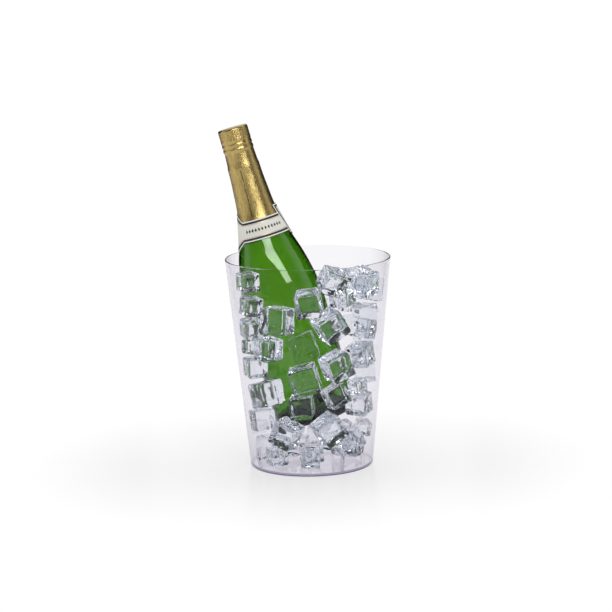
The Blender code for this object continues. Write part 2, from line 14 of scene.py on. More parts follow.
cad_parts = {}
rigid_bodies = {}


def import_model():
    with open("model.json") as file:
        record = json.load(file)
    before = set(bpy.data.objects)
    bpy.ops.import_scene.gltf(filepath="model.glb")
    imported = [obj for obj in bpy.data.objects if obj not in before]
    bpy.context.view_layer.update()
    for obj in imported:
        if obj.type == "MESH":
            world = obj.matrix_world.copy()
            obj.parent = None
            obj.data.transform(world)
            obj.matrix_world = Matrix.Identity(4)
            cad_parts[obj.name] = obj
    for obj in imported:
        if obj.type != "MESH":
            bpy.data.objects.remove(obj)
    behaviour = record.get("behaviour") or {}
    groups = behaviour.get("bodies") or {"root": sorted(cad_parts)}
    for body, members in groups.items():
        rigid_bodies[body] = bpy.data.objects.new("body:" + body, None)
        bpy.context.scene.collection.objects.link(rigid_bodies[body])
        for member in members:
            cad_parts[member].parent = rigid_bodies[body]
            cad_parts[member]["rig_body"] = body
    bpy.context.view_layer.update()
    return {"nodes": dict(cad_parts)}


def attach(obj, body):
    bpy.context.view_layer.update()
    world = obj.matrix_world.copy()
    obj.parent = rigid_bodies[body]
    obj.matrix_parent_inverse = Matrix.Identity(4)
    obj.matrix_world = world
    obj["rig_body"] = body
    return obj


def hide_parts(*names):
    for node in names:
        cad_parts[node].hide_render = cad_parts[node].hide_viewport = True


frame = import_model()

# Bucket
BUCKET_HEIGHT = 0.219
RIM_RADIUS = 0.086
BASE_RADIUS = 0.0643
WALL = 0.0016
FLOOR = 0.003
BASE_CORNER = 0.003
FLOOR_CORNER = 0.002
RIM_ROUND = 0.0006
RIB_HEIGHT = 0.022
RIB_WIDTH = 0.0032
RIB_DEPTH = 0.0030
RIB_ANGLES = (-60.0, 30.0, 120.0, 210.0)
RIB_BITE = 0.4                   # share of the wall that a rib reaches into
RIB_SINK = 0.5                   # share of the floor that a rib stands in
BUCKET_STEPS = 160
WALL_RINGS = (0.005, 0.35, 0.65, 0.995)     # shares of the wall's height

# Bottle
BOTTLE_FOOT = Vector((0.0066, 0.0160, 0.0460))
BOTTLE_LEAN = (15.0, 2.5)        # degrees to the left and back
BOTTLE_STEPS = 128
BODY_RADIUS = 0.0435
BODY_TOP = 0.112
HEEL = 0.0065
GLASS = 0.0032
PUNT_HEIGHT = 0.026
MOUTH_HEIGHT = 0.300
BORE_RADIUS = 0.0090
COLLAR_RADIUS = 0.0135
WINE_LEVEL = 0.252
FAIR_STEP = 0.0022
WINE_OVERLAP = 0.00015           # the wine wets the glass: its surface lies just inside the glass
SHOULDER = (                     # height, outer radius of the glass
    (0.112, 0.0435), (0.133, 0.0430), (0.148, 0.0409), (0.160, 0.0386), (0.176, 0.0348),
    (0.192, 0.0296), (0.210, 0.0241), (0.228, 0.0198), (0.250, 0.0178), (0.268, 0.0163),
)
BORE = (                         # height, inner radius of the glass
    (0.300, 0.0090), (0.272, 0.0091), (0.250, 0.0122), (0.228, 0.0160), (0.210, 0.0206),
    (0.192, 0.0262), (0.176, 0.0314), (0.160, 0.0353), (0.148, 0.0376), (0.133, 0.0397),
    (0.112, 0.0403),
)

# Foil
FOIL = 0.00035
FOIL_STEPS = 320
CAPSULE_TOP = 0.318
CAPSULE_BOTTOM = 0.216
FOIL_GAP = 0.0004
SEAM_SPAN = (0.2225, 0.2760)     # the foil's lapped seam on the front of the neck
SEAM_ANGLES = (-14.5, -11.0)     # at its foot and at its top
SEAM_HALF = 2.6                  # degrees
SEAM_SHADE_SHARE = 0.45                 # share of the groove's depth from which it has painted shade
SEAM_DEPTH = 0.00025
SEAM_SWAY = 1.1                  # degrees
FOLD_DEPTH = 0.00016             # broad folds, fine crinkles and the embossed lattice
CRINKLE_DEPTH = 0.00010
LATTICE_DEPTH = 0.00022
LATTICE_SPAN = (0.3062, 0.3148)
CROWN_EDGE = (0.0115, 0.0150)    # the crown is smooth, and the crinkles start round its edge

# Labels: angles in degrees from the front, heights and distances in metres
PAPER = 0.00025
PAPER_LIFT = 0.0004
WHITE, BLACK, GOLD, CREAM = range(4)
BORDER = (0.0012, 0.0033, 0.0038, 0.0043)
BORDER_INKS = (WHITE, BLACK, CREAM, GOLD, CREAM)
NECK_BAND = (0.1995, 0.2205)     # the narrow band across the front
NECK_PANEL = (0.1900, 0.2290)    # the taller panel round the right and the back
NECK_WIDENS = (-48.0, 30.0)      # where the band starts to widen to the left, and over how much
NECK_MIDDLE = 0.2100
PANEL_FOOT = (78.0, 184.0)       # ends of the lapping sheet at its foot and at its head
PANEL_HEAD = (57.0, 184.0)
PANEL_WIDE = 98.0
PANEL_CORNER = 0.1965            # its lower edge starts higher at the right
BODY_LABEL_SPAN = (0.036, 0.106)
BODY_LABEL_ANGLE = 112.0         # the bottle's face is turned to the right
BODY_LABEL_HALF = 38.0
BODY_EMBLEM = 0.078

# Ice
ICE_ROUND = 0.0024
ICE_WAVES = 0.0013
ICE_DISH = 0.0016                # how deep the middle of a face has melted
ICE_DISH_EDGES = (0.78, 0.30)    # shares of the half edge over which the dish slopes down

# Camera and light
CAMERA_PLACE = (0.0, -2.65, 0.631)
CAMERA_TILT = -9.92
CAMERA_YAW = -0.06
CAMERA_ROLL = 1.25
CAMERA_LENS = 152.0
CAMERA_SENSOR = 36.0
SOFTBOX_FRONT = -1.0
SOFTBOX_CORNERS = ((-0.44, 0.78), (0.26, 1.04), (0.88, 0.80), (0.44, 0.64))
SOFTBOX_GLOW = 7.5
FLAG_SPAN = (0.066, 1.2)
FLAG_NEAR = (0.24, 1.08)         # the flags' ends, mirrored to the left and the right
FLAG_FAR = (1.05, 0.35)
FLOOR_FADE = (0.05, 0.36)        # distances over which the floor's painted glow grows to plain white
FLOOR_GLOW_LEAST = 0.60
FLOOR_GLOW = 1.02
ROOM_FADE = (-0.40, 0.05)        # from the grey front of the room to its white back
ROOM_FRONT = (0.11, 0.11, 0.12)
ROOM_BACK = (0.98, 0.98, 1.0)


# ---------------------------------------------------------------- shapes

def arc(centre, radius, start, end, count):
    """Points (radius, height) on a circular arc, angles in degrees from +X."""
    points = []
    for i in range(count + 1):
        angle = math.radians(start + (end - start) * i / count)
        points.append((centre[0] + radius * math.cos(angle), centre[1] + radius * math.sin(angle)))
    return points


def steps_between(low, high, count):
    return [low + (high - low) * i / count for i in range(count + 1)]


def smooth_step(low, high, value):
    """0 below low, 1 above high and smooth between; low may be the larger."""
    share = min(max((value - low) / (high - low), 0.0), 1.0)
    return share * share * (3.0 - 2.0 * share)


def station_radius(stations, height):
    """Radius at a height on the smooth line through (height, radius) stations."""
    line = sorted(stations)
    if height <= line[0][0]:
        return line[0][1]
    if height >= line[-1][0]:
        return line[-1][1]
    for i in range(len(line) - 1):
        (h0, r0), (h1, r1) = line[i], line[i + 1]
        if h0 <= height <= h1:
            break
    before = line[max(i - 1, 0)]
    after = line[min(i + 2, len(line) - 1)]
    slope0 = 0.0 if i == 0 else (r1 - before[1]) / (h1 - before[0])
    slope1 = (after[1] - r0) / (after[0] - h0)
    t = (height - h0) / (h1 - h0)
    span = h1 - h0
    return (
        (2 * t**3 - 3 * t**2 + 1) * r0
        + (t**3 - 2 * t**2 + t) * span * slope0
        + (3 * t**2 - 2 * t**3) * r1
        + (t**3 - t**2) * span * slope1
    )


def glass_radius(height):
    """Outer radius of the glass, with the line through the stations faired."""
    near = [station_radius(SHOULDER, height + FAIR_STEP * i) for i in range(-4, 5)]
    return sum(near) / len(near)


def lean_direction(left, back):
    left, back = math.radians(left), math.radians(back)
    return Vector((-math.sin(left) * math.cos(back), math.sin(back), math.cos(left) * math.cos(back)))


def bottle_place():
    """Matrix of the bottle: its foot, with +Z along it and -Y to the front."""
    up = lean_direction(*BOTTLE_LEAN)
    right = Vector((0.0, 1.0, 0.0)).cross(up).normalized()
    turn = Matrix((right, up.cross(right), up)).transposed().to_4x4()
    return Matrix.Translation(BOTTLE_FOOT) @ turn


BOTTLE_PLACE = bottle_place()


def add_piece(name, shape, materials, body, nodes, place=Matrix.Identity(4), sharp=35.0):
    """Makes a piece from a bmesh, which is freed, and sets it on its body."""
    bmesh.ops.recalc_face_normals(shape, faces=shape.faces)
    shape.transform(place)
    mesh = bpy.data.meshes.new(name)
    shape.to_mesh(mesh)
    shape.free()
    mesh.shade_smooth()
    mesh.set_sharp_from_angle(angle=math.radians(sharp))
    piece = bpy.data.objects.new(name, mesh)
    bpy.context.scene.collection.objects.link(piece)
    for material in materials:
        mesh.materials.append(material)
    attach(piece, body)
    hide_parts(*nodes)
    return piece


def turned(profile, steps, shift=None):
    """A turned solid: profile points are (radius, height).

    shift(radius, height, degrees from the front, index of the point) gives another radius.
    """
    shape = bmesh.new()
    rings = []
    for index, (radius, height) in enumerate(profile):
        if radius < 1e-6:
            rings.append([shape.verts.new((0.0, 0.0, height))])
            continue
        ring = []
        for i in range(steps):
            degrees = 360.0 * i / steps - 180.0
            turn = math.radians(degrees - 90.0)
            r = shift(radius, height, degrees, index) if shift else radius
            ring.append(shape.verts.new((r * math.cos(turn), r * math.sin(turn), height)))
        rings.append(ring)
    if len(rings[0]) > 1:
        rings.append(rings[0])
    for upper, lower in zip(rings, rings[1:]):
        for i in range(steps):
            j = (i + 1) % steps
            if len(upper) == 1:
                shape.faces.new((upper[0], lower[i], lower[j]))
            elif len(lower) == 1:
                shape.faces.new((upper[i], lower[0], upper[j]))
            else:
                shape.faces.new((upper[i], lower[i], lower[j], upper[j]))
    return shape


# ---------------------------------------------------------------- materials

def node_material(name, colour, roughness, **settings):
    """A Principled material, its node tree and its shader; settings are socket names."""
    material = bpy.data.materials.new(name)
    material.use_nodes = True
    tree = material.node_tree
    shader = tree.nodes["Principled BSDF"]
    shader.inputs["Base Color"].default_value = (*colour, 1.0)
    shader.inputs["Roughness"].default_value = roughness
    for socket, value in settings.items():
        shader.inputs[socket.replace("_", " ")].default_value = value
    return material, tree, shader


def place_node(tree, along=1.0, place=Matrix.Identity(4)):
    """Coordinates in metres in a place's own axes, squeezed along its Z."""
    where = tree.nodes.new("ShaderNodeTexCoord")
    mapping = tree.nodes.new("ShaderNodeMapping")
    mapping.vector_type = "TEXTURE"
    mapping.inputs["Location"].default_value = place.translation
    mapping.inputs["Rotation"].default_value = place.to_euler()
    mapping.inputs["Scale"].default_value = (1.0, 1.0, 1.0 / along)
    tree.links.new(where.outputs["Object"], mapping.inputs["Vector"])
    return mapping.outputs["Vector"]


def noise_node(tree, where, scale, detail=3.0, roughness=0.5):
    grain = tree.nodes.new("ShaderNodeTexNoise")
    grain.inputs["Scale"].default_value = scale
    grain.inputs["Detail"].default_value = detail
    grain.inputs["Roughness"].default_value = roughness
    tree.links.new(where, grain.inputs["Vector"])
    return grain.outputs["Fac"]


def range_node(tree, value, low, high, to_low, to_high):
    """Value from low..high carried to to_low..to_high and kept inside."""
    node = tree.nodes.new("ShaderNodeMapRange")
    node.inputs["From Min"].default_value = low
    node.inputs["From Max"].default_value = high
    node.inputs["To Min"].default_value = to_low
    node.inputs["To Max"].default_value = to_high
    tree.links.new(value, node.inputs["Value"])
    return node.outputs["Result"]


def mix_node(tree, share, first, second):
    """Colour between two colours by a share."""
    node = tree.nodes.new("ShaderNodeMix")
    node.data_type = "RGBA"
    node.inputs["A"].default_value = (*first, 1.0)
    node.inputs["B"].default_value = (*second, 1.0)
    tree.links.new(share, node.inputs["Factor"])
    return node.outputs["Result"]


def bump_node(tree, shader, height, strength, distance):
    bump = tree.nodes.new("ShaderNodeBump")
    bump.inputs["Strength"].default_value = strength
    bump.inputs["Distance"].default_value = distance
    tree.links.new(height, bump.inputs["Height"])
    tree.links.new(bump.outputs["Normal"], shader.inputs["Normal"])


def absorb(tree, colour, density):
    """Fills the closed shape with a medium that tints light on its way through."""
    medium = tree.nodes.new("ShaderNodeVolumeAbsorption")
    medium.inputs["Color"].default_value = (*colour, 1.0)
    medium.inputs["Density"].default_value = density
    tree.links.new(medium.outputs["Volume"], tree.nodes["Material Output"].inputs["Volume"])


def plastic_material():
    """Clear injection-moulded plastic with faint flow lines up the wall.

    It bends and mirrors light less than real polystyrene, so that the wall stays quiet.
    """
    material, tree, shader = node_material(
        "clear_plastic", (1.0, 1.0, 1.0), 0.02, IOR=1.25, Transmission_Weight=1.0,
        Specular_Tint=(0.1, 0.1, 0.1, 1.0),
    )
    flow = noise_node(tree, place_node(tree, 0.15), 30.0, 2.0)
    bump_node(tree, shader, flow, 0.12, 0.0012)
    absorb(tree, (0.840, 0.822, 0.872), 340.0)
    return material


def ice_material():
    """Clear, wet ice: smooth melt waves and a trace of cold blue in the thick of it."""
    material, tree, shader = node_material(
        "clear_ice", (1.0, 1.0, 1.0), 0.0, IOR=1.42, Transmission_Weight=1.0
    )
    melt = noise_node(tree, place_node(tree), 160.0, 2.0)
    bump_node(tree, shader, melt, 0.34, 0.0012)
    absorb(tree, (0.60, 0.69, 0.77), 16.0)
    return material


def glass_material():
    """Bottle-green glass, with the faint waves of a blown mould."""
    material, tree, shader = node_material(
        "green_glass", (1.0, 1.0, 1.0), 0.0, IOR=1.52, Transmission_Weight=1.0
    )
    waves = noise_node(tree, place_node(tree, 0.4, BOTTLE_PLACE), 30.0, 1.0)
    bump_node(tree, shader, waves, 0.04, 0.0010)
    absorb(tree, (0.506, 0.751, 0.056), 780.0)
    return material


def wine_material():
    """Pale sparkling wine."""
    material, tree, _ = node_material(
        "wine", (1.0, 1.0, 1.0), 0.0, IOR=1.34, Transmission_Weight=1.0
    )
    absorb(tree, (0.97, 0.93, 0.62), 9.0)
    return material


def foil_material():
    """Champagne-gold foil: brushed along the neck in darker and lighter streaks, crinkled finely."""
    material, tree, shader = node_material("gold_foil", (0.66, 0.50, 0.24), 0.34, Metallic=1.0)
    along = place_node(tree, 0.12, BOTTLE_PLACE)
    streaks = noise_node(tree, along, 900.0, 4.0, 0.6)
    specks = noise_node(tree, place_node(tree), 1500.0, 3.0, 0.6)
    colour = mix_node(
        tree, range_node(tree, streaks, 0.35, 0.68, 0.0, 1.0), (0.37, 0.27, 0.095), (0.58, 0.44, 0.175)
    )
    tree.links.new(colour, shader.inputs["Base Color"])
    tree.links.new(range_node(tree, specks, 0.3, 0.7, 0.21, 0.37), shader.inputs["Roughness"])
    bump_node(tree, shader, specks, 0.35, 0.0004)
    return material


def paper_material(name, colour, dark):
    """Coated paper: fibres in the colour and a slight tooth."""
    material, tree, shader = node_material(name, colour, 0.5)
    fibres = noise_node(tree, place_node(tree, 0.5, BOTTLE_PLACE), 1800.0, 4.0, 0.65)
    tree.links.new(
        mix_node(tree, range_node(tree, fibres, 0.3, 0.7, 0.0, 1.0), dark, colour),
        shader.inputs["Base Color"],
    )
    tree.links.new(range_node(tree, fibres, 0.3, 0.7, 0.42, 0.6), shader.inputs["Roughness"])
    bump_node(tree, shader, fibres, 0.25, 0.0002)
    return material


def gold_ink_material():
    """Metallic gold ink of the labels' thin lines and ornaments."""
    material, tree, shader = node_material("gold_ink", (0.70, 0.50, 0.18), 0.35, Metallic=0.9)
    grain = noise_node(tree, place_node(tree), 2500.0, 2.0)
    tree.links.new(range_node(tree, grain, 0.3, 0.7, 0.28, 0.5), shader.inputs["Roughness"])
    return material


def cork_material():
    """Agglomerated cork: pale grains with dark pores."""
    material, tree, shader = node_material("cork", (0.55, 0.36, 0.20), 0.85)
    where = place_node(tree)
    grains = tree.nodes.new("ShaderNodeTexVoronoi")
    grains.inputs["Scale"].default_value = 700.0
    tree.links.new(where, grains.inputs["Vector"])
    colour = mix_node(
        tree, range_node(tree, grains.outputs["Distance"], 0.1, 0.7, 0.0, 1.0),
        (0.62, 0.43, 0.25), (0.28, 0.16, 0.08),
    )
    tree.links.new(colour, shader.inputs["Base Color"])
    bump_node(tree, shader, grains.outputs["Distance"], 0.4, 0.0004)
    return material


def metal_material(name, colour, roughness):
    """Drawn wire or stamped sheet with fine scratches."""
    material, tree, shader = node_material(name, colour, roughness, Metallic=1.0)
    scratches = noise_node(tree, place_node(tree, 0.2, BOTTLE_PLACE), 2600.0, 3.0)
    tree.links.new(
        range_node(tree, scratches, 0.3, 0.7, roughness - 0.08, roughness + 0.1),
        shader.inputs["Roughness"],
    )
    bump_node(tree, shader, scratches, 0.2, 0.0001)
    return material


# ---------------------------------------------------------------- bucket

def wall_radius(height):
    """Outer radius of the bucket's wall."""
    return BASE_RADIUS + (RIM_RADIUS - BASE_RADIUS) * height / BUCKET_HEIGHT


def straight(start, end):
    """Points between two profile points; the ones near the ends keep the wall's shading flat."""
    return [
        (start[0] + (end[0] - start[0]) * share, start[1] + (end[1] - start[1]) * share)
        for share in WALL_RINGS
    ]


def weld_rib(bucket, angle, inner_foot):
    """Joins one stacking rib to the inside of the bucket's foot."""
    inner, outer = inner_foot - RIB_DEPTH, inner_foot + RIB_BITE * WALL
    low, high = FLOOR * RIB_SINK, FLOOR + RIB_HEIGHT
    size = Vector((outer - inner, RIB_WIDTH, high - low, 1.0))
    centre = Vector(((outer + inner) / 2, 0.0, (low + high) / 2))
    turn = Matrix.Rotation(math.radians(angle - 90.0), 4, "Z")
    place = turn @ Matrix.Translation(centre) @ Matrix.Diagonal(size)
    shape = bmesh.new()
    bmesh.ops.create_cube(shape, size=1.0, matrix=place)
    mesh = bpy.data.meshes.new("rib")
    shape.to_mesh(mesh)
    shape.free()
    rib = bpy.data.objects.new("rib", mesh)
    bpy.context.scene.collection.objects.link(rib)
    union = bucket.modifiers.new("rib", "BOOLEAN")
    union.operation = "UNION"
    union.object = rib
    bpy.context.view_layer.objects.active = bucket
    with bpy.context.temp_override(object=bucket):
        bpy.ops.object.modifier_apply(modifier=union.name)
    bpy.data.objects.remove(rib)


def add_bucket(material):
    """The tapered shell, turned in one, with the ribs welded in its foot."""
    slope = math.degrees(math.atan2(RIM_RADIUS - BASE_RADIUS, BUCKET_HEIGHT))
    inner_foot = wall_radius(FLOOR) - WALL
    corner = (inner_foot - FLOOR_CORNER, FLOOR + FLOOR_CORNER)
    profile = [(0.0, FLOOR)] + arc(corner, FLOOR_CORNER, -90.0, -slope, 6)
    top = BUCKET_HEIGHT - RIM_ROUND
    rim = arc((RIM_RADIUS - WALL + RIM_ROUND, top), RIM_ROUND, 180.0, 90.0, 5)
    rim += arc((RIM_RADIUS - RIM_ROUND, top), RIM_ROUND, 90.0, -slope, 5)
    foot = arc((BASE_RADIUS - BASE_CORNER, BASE_CORNER), BASE_CORNER, -slope, -90.0, 8)
    profile += straight(profile[-1], rim[0]) + rim + straight(rim[-1], foot[0]) + foot
    profile.append((0.0, 0.0))
    bucket = add_piece(
        "bucket_moulding", turned(profile, BUCKET_STEPS), [material],
        "bucket", ["bucket"],
    )
    for angle in RIB_ANGLES:
        weld_rib(bucket, angle, inner_foot)
    bucket.data.shade_smooth()
    bucket.data.set_sharp_from_angle(angle=math.radians(35.0))


# ---------------------------------------------------------------- bottle

def add_bottle_glass(material):
    """The green shell: punt, body, shoulder, neck, collar and open mouth."""
    profile = [(0.0, PUNT_HEIGHT + 0.005), (0.007, PUNT_HEIGHT + 0.0042), (0.014, PUNT_HEIGHT + 0.0005)]
    profile += [(0.020, 0.0215), (0.026, 0.016)]
    profile += arc((BODY_RADIUS - GLASS - 0.006, 0.016), 0.006, -70.0, 0.0, 6)
    profile += [(station_radius(BORE, h), h) for h in steps_between(0.060, 0.272, 44)]
    profile += [(BORE_RADIUS, 0.285), (BORE_RADIUS, 0.299)]
    profile += arc((BORE_RADIUS + 0.0018, MOUTH_HEIGHT - 0.0012), 0.0012, 135.0, 20.0, 5)
    profile += [(0.0131, 0.2975), (0.0131, 0.2925), (COLLAR_RADIUS, 0.2910), (COLLAR_RADIUS, 0.2870)]
    profile += [(0.0131, 0.2855), (0.0131, 0.2800)]
    profile += [(glass_radius(h), h) for h in reversed(steps_between(BODY_TOP - 0.06, 0.268, 48))]
    profile += arc((BODY_RADIUS - HEEL, HEEL), HEEL, 0.0, -90.0, 8)
    profile += [(0.0325, 0.0004), (0.026, 0.007), (0.020, 0.0128), (0.014, 0.019), (0.006, 0.0245)]
    profile.append((0.0, PUNT_HEIGHT))
    add_piece(
        "green_bottle", turned(profile, BOTTLE_STEPS), [material], "bottle",
        ["bottle_glass"], BOTTLE_PLACE,
    )


def add_wine(material):
    """The wine, which fills the shell up to its level in the neck."""
    wet = WINE_OVERLAP
    profile = [(0.0, WINE_LEVEL), (station_radius(BORE, WINE_LEVEL) + wet, WINE_LEVEL)]
    profile += [(station_radius(BORE, h) + wet, h) for h in reversed(steps_between(0.060, 0.250, 40))]
    profile += arc((BODY_RADIUS - GLASS - 0.006, 0.016), 0.006 + wet, 0.0, -70.0, 6)
    profile += [(0.026, 0.016 - wet), (0.020, 0.0215 - wet), (0.014, PUNT_HEIGHT + 0.0005 - wet)]
    profile += [(0.007, PUNT_HEIGHT + 0.0042 - wet), (0.0, PUNT_HEIGHT + 0.005 - wet)]
    add_piece(
        "sparkling_wine", turned(profile, BOTTLE_STEPS), [material], "bottle", ["wine"],
        BOTTLE_PLACE,
    )


def foil_line():
    """The foil's outline from the crown to its hem."""
    line = [(0.0, CAPSULE_TOP), (0.006, CAPSULE_TOP - 0.00005), (0.0115, CAPSULE_TOP - 0.00015)]
    line += [(0.0128, CAPSULE_TOP - 0.0003)]
    line += arc((0.0140, CAPSULE_TOP - 0.0022), 0.0019, 75.0, 0.0, 5)
    line += [(0.0161, h) for h in reversed(steps_between(0.3045, 0.3150, 22))]
    line += [(0.0161, 0.3035), (0.0157, 0.3020), (0.0162, 0.3005), (0.0162, 0.2990), (0.0156, 0.2975)]
    line += [(0.0163, 0.2958), (0.0163, 0.2940), (0.0157, 0.2925), (0.0158, 0.2902), (0.0159, 0.2880)]
    line += [(0.0161, 0.2840), (0.0163, 0.2800)]
    line += [
        (glass_radius(h) + FOIL + FOIL_GAP, h)
        for h in reversed(steps_between(CAPSULE_BOTTOM, 0.276, 40))
    ]
    return line


def seam_share(height, degrees):
    """1 in the middle of the lapped seam and 0 away from it."""
    low, high = SEAM_SPAN
    if not low <= height <= high:
        return 0.0
    middle = SEAM_ANGLES[0] + (SEAM_ANGLES[1] - SEAM_ANGLES[0]) * (height - low) / (high - low)
    middle += SEAM_SWAY * noise.noise(Vector((0.0, 3.0, height * 260.0)))
    ends = smooth_step(low, low + 0.003, height) * smooth_step(high, high - 0.004, height)
    return max(1.0 - abs(degrees - middle) / SEAM_HALF, 0.0) * ends


def seam_shade_material():
    """Painted shade in the groove along the foil's lap: a dark metal."""
    material, tree, shader = node_material("foil_seam_shade", (0.10, 0.065, 0.02), 0.45, Metallic=1.0)
    grain = noise_node(tree, place_node(tree), 1500.0, 3.0, 0.6)
    tree.links.new(range_node(tree, grain, 0.3, 0.7, 0.38, 0.55), shader.inputs["Roughness"])
    return material


def shade_seam_groove(shape, outer_faces):
    """Gives the outer faces in the groove of the lap the second material, its painted shade."""
    for face in shape.faces:
        middle = face.calc_center_median()
        degrees = (math.degrees(math.atan2(middle.y, middle.x)) + 270.0) % 360.0 - 180.0
        # the deepest part of the lap's groove gets painted shade
        if seam_share(middle.z, degrees) > SEAM_SHADE_SHARE and face.index < outer_faces:
            face.material_index = 1


def add_foil(materials):
    """The capsule over cork, cage and neck: a thin turned skin with crinkles pressed in."""
    outer = foil_line()
    inner = [(0.0, CAPSULE_TOP - FOIL), (outer[3][0], outer[3][1] - FOIL)]
    inner += [(radius - FOIL, height - 0.3 * FOIL) for radius, height in outer[5:9]]
    inner += [(radius - FOIL, height) for radius, height in outer[9:]]
    last_outer = len(outer) - 1

    def crinkled(radius, height, degrees, index):
        if index > last_outer:
            return radius
        turn = math.radians(degrees)
        place = Vector((math.cos(turn) * 3.2, math.sin(turn) * 3.2, height * 45.0))
        folds = 0.5 + 0.5 * noise.noise(place)
        fine = 0.5 + 0.5 * noise.noise(Vector((place.x * 4.0, place.y * 4.0, height * 420.0)))
        lattice = 0.0
        if LATTICE_SPAN[0] < height < LATTICE_SPAN[1]:
            rise, run = height * 1500.0, turn * 22.0
            lattice = 0.5 + 0.5 * math.sin(run + rise) * math.sin(run - rise)
        depth = FOLD_DEPTH * folds + CRINKLE_DEPTH * fine + LATTICE_DEPTH * lattice
        depth += SEAM_DEPTH * seam_share(height, degrees)
        return radius - depth * smooth_step(*CROWN_EDGE, radius)

    shape = turned(outer + list(reversed(inner)), FOIL_STEPS, crinkled)
    shape.faces.index_update()
    shade_seam_groove(shape, len(outer) * FOIL_STEPS)
    add_piece(
        "foil_skin", shape, materials, "bottle", ["foil_capsule"], BOTTLE_PLACE,
        sharp=60.0,
    )


# ---------------------------------------------------------------- labels

def paper_lift(height):
    """Distance of the paper from the glass: the neck label laps the foil's hem."""
    share = min(max((height - 0.198) / (CAPSULE_BOTTOM - 0.200), 0.0), 1.0)
    return PAPER_LIFT + (FOIL + 0.0005) * share


def border_shares(length, lines):
    """Shares 0 to 1 of a length, with a grid line at every border distance from both ends."""
    near = [0.0, *lines]
    clear = near[-1] * 1.2
    inside = [length * i / 8 for i in range(1, 8) if clear < length * i / 8 < length - clear]
    far = [length - d for d in reversed(near)]
    return [d / length for d in [*near, *inside, *far]]


def patch(shape, columns, shares, inks, lift, sides=(0, 0)):
    """Adds a sheet of paper wrapped on the bottle to a bmesh.

    columns are lines of (degrees at the foot, degrees at the head, bottom, top); shares are the
    grid lines from the bottom to the top; inks are the material numbers of the border rows from
    an edge inward, the last one the field's; sides are how many columns of border there are at
    the first and the last end.
    """
    skins = []
    for offset in (lift, lift + PAPER):
        skin = []
        for foot, head, low, high in columns:
            line = []
            for share in shares:
                height = low + (high - low) * share
                turn = math.radians(foot + (head - foot) * share - 90.0)
                radius = glass_radius(height) + paper_lift(height) + offset
                line.append(shape.verts.new((radius * math.cos(turn), radius * math.sin(turn), height)))
            skin.append(line)
        skins.append(skin)
    rows, last = len(shares) - 1, len(columns) - 1
    for i in range(last):
        for j in range(rows):
            deep = min(j, rows - 1 - j)
            if i < sides[0]:
                deep = min(deep, i)
            if i >= last - sides[1]:
                deep = min(deep, last - 1 - i)
            ink = inks[min(deep, len(inks) - 1)]
            for skin in skins:
                face = shape.faces.new((skin[i][j], skin[i + 1][j], skin[i + 1][j + 1], skin[i][j + 1]))
                face.material_index = ink
    inner, outer = skins
    edge = [(i, 0) for i in range(last)] + [(last, j) for j in range(rows)]
    edge += [(i, rows) for i in range(last, 0, -1)] + [(0, j) for j in range(rows, 0, -1)]
    for (i, j), (k, m) in zip(edge, edge[1:] + edge[:1]):
        shape.faces.new((inner[i][j], inner[k][m], outer[k][m], outer[i][j]))


def lozenge(shape, degrees, height, half_wide, half_high, lift, ink):
    """A small flat inked lozenge on the paper."""
    radius = glass_radius(height) + paper_lift(height) + lift
    spread = math.degrees(half_wide / radius)
    corners = []
    for offset in (-0.00002, 0.00005):
        ring = []
        for turn, rise in ((0, -half_high), (spread, 0), (0, half_high), (-spread, 0)):
            angle = math.radians(degrees + turn - 90.0)
            r = glass_radius(height + rise) + paper_lift(height + rise) + lift + offset
            ring.append(shape.verts.new((r * math.cos(angle), r * math.sin(angle), height + rise)))
        corners.append(ring)
    low, high = corners
    faces = [low, high] + [[low[i], low[(i + 1) % 4], high[(i + 1) % 4], high[i]] for i in range(4)]
    for face in faces:
        shape.faces.new(face).material_index = ink


def add_neck_label(materials):
    """A band that widens to the left, and a lapping panel at the right and the back."""
    shape = bmesh.new()
    low, high = NECK_BAND
    panel_low, panel_high = NECK_PANEL
    widens, over = NECK_WIDENS
    columns = []
    for degrees in [*range(-176, -48, 4), *range(-48, 90, 3), 89]:
        share = min(max((widens - degrees) / over, 0.0), 1.0)
        bottom, top = low + (panel_low - low) * share, high + (panel_high - high) * share
        columns.append((degrees, degrees, bottom, top))
    patch(shape, columns, border_shares(high - low, BORDER), BORDER_INKS, 0.0)
    for i in range(12):
        degrees = -36.0 + 8.0 * i
        lozenge(shape, degrees, NECK_MIDDLE, 0.00115, 0.0021, PAPER, BLACK)
        lozenge(shape, degrees + 4.0, NECK_MIDDLE, 0.00055, 0.0007, PAPER, GOLD)

    radius = glass_radius(NECK_MIDDLE)
    degrees_at = [math.degrees(d / radius) for d in (0.0, *BORDER)]
    columns = []
    for along in [*degrees_at, *range(10, 90, 5), *[PANEL_WIDE - d for d in reversed(degrees_at)]]:
        share = along / PANEL_WIDE
        foot = PANEL_FOOT[0] + (PANEL_FOOT[1] - PANEL_FOOT[0]) * share
        head = PANEL_HEAD[0] + (PANEL_HEAD[1] - PANEL_HEAD[0]) * share
        bottom = PANEL_CORNER + (panel_low - PANEL_CORNER) * smooth_step(0.0, 0.5, share)
        columns.append((foot, head, bottom, panel_high + 0.0005))
    ends = len(BORDER_INKS) - 1
    patch(
        shape, columns, border_shares(panel_high - panel_low, BORDER), BORDER_INKS,
        PAPER + 0.00005, (ends, ends),
    )
    for size, ink in ((0.0062, GOLD), (0.0045, CREAM), (0.0030, BLACK)):
        lift = 2 * PAPER + 0.0001 + 0.00003 * ink
        lozenge(shape, 122.0, NECK_MIDDLE, size * 0.8, size, lift, ink)
    add_piece(
        "neck_label_paper", shape, materials, "bottle", ["neck_label"], BOTTLE_PLACE,
        sharp=50.0,
    )


